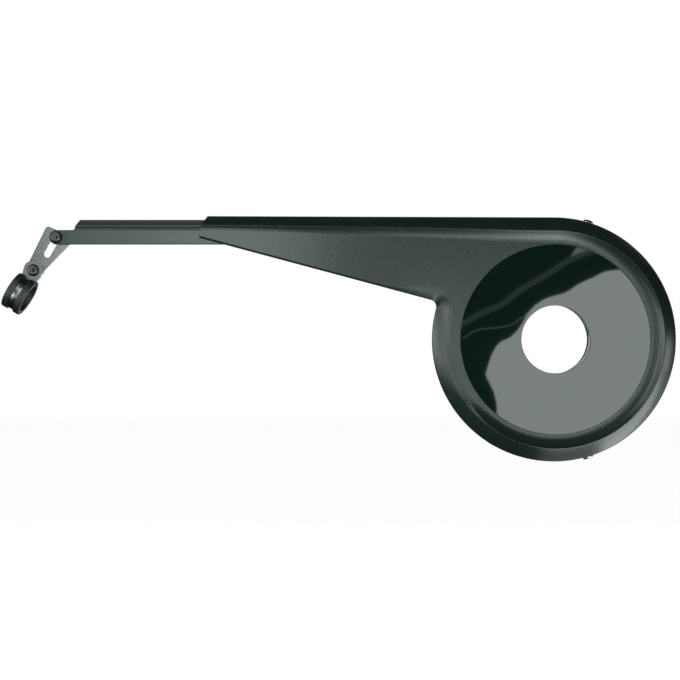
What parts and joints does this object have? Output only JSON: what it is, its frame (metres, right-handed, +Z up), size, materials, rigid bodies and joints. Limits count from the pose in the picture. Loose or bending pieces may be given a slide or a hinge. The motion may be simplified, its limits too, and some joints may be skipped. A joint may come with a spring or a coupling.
{
  "type": "bicycle chain guard",
  "caption": "Moulded chain guard with a round end over the chainring, a tapering arm, a gloss disc round the crank, a sliding rail and a rubber-lined clamp for the chain stay.",
  "frame": {"origin": "on the crank axis, at the outer face of the gloss disc", "axes": "+X towards the front of the bicycle, +Z up, +Y inward to the frame, so the guard's face looks along -Y"},
  "size_m": [0.5809, 0.041, 0.2123],
  "materials": {
    "satin_plastic": "satin black plastic with a fine moulded grain",
    "gloss_plastic": "polished black plastic",
    "rail_plastic": "satin dark grey plastic",
    "black_steel": "black coated steel",
    "zinc_steel": "zinc plated steel",
    "sleeve_rubber": "soft black rubber"
  },
  "bodies": {
    "guard": {"guard_shell": "satin_plastic", "gloss_disc": "gloss_plastic", "mount_ring": "black_steel", "upper_rim_screw": "zinc_steel", "lower_rim_screw": "zinc_steel", "upper_rim_washer": "zinc_steel", "lower_rim_washer": "zinc_steel", "upper_rim_nut": "zinc_steel", "lower_rim_nut": "zinc_steel"},
    "rail": {"extension_rail": "rail_plastic"},
    "pivot": {"pivot_screw": "black_steel", "pivot_front_washer": "black_steel", "pivot_rear_washer": "zinc_steel", "pivot_nut": "zinc_steel"},
    "bracket": {"stay_bracket": "zinc_steel"},
    "clamp": {"clamp_band": "zinc_steel", "clamp_sleeve": "sleeve_rubber", "clamp_screw": "black_steel", "clamp_front_washer": "black_steel", "clamp_rear_washer": "zinc_steel", "clamp_nut": "zinc_steel"}
  },
  "joints": [
    {"name": "rail_slide", "type": "slide", "parent": "guard", "child": "rail", "axis": [1, 0, 0], "range_m": [-0.03, 0.06]},
    {"name": "bracket_swivel", "type": "hinge", "parent": "rail", "child": "pivot", "pos_m": [-0.42805, 0.00565, 0.08769], "axis": [0, 1, 0], "range_deg": [-35, 35]},
    {"name": "slot_slide", "type": "slide", "parent": "pivot", "child": "bracket", "axis": [0.4924, 0, 0.8704], "range_m": [0, 0.009]},
    {"name": "clamp_swivel", "type": "hinge", "parent": "bracket", "child": "clamp", "pos_m": [-0.44799, 0.00565, 0.05941], "axis": [0, 1, 0], "range_deg": [-30, 30]}
  ]
}
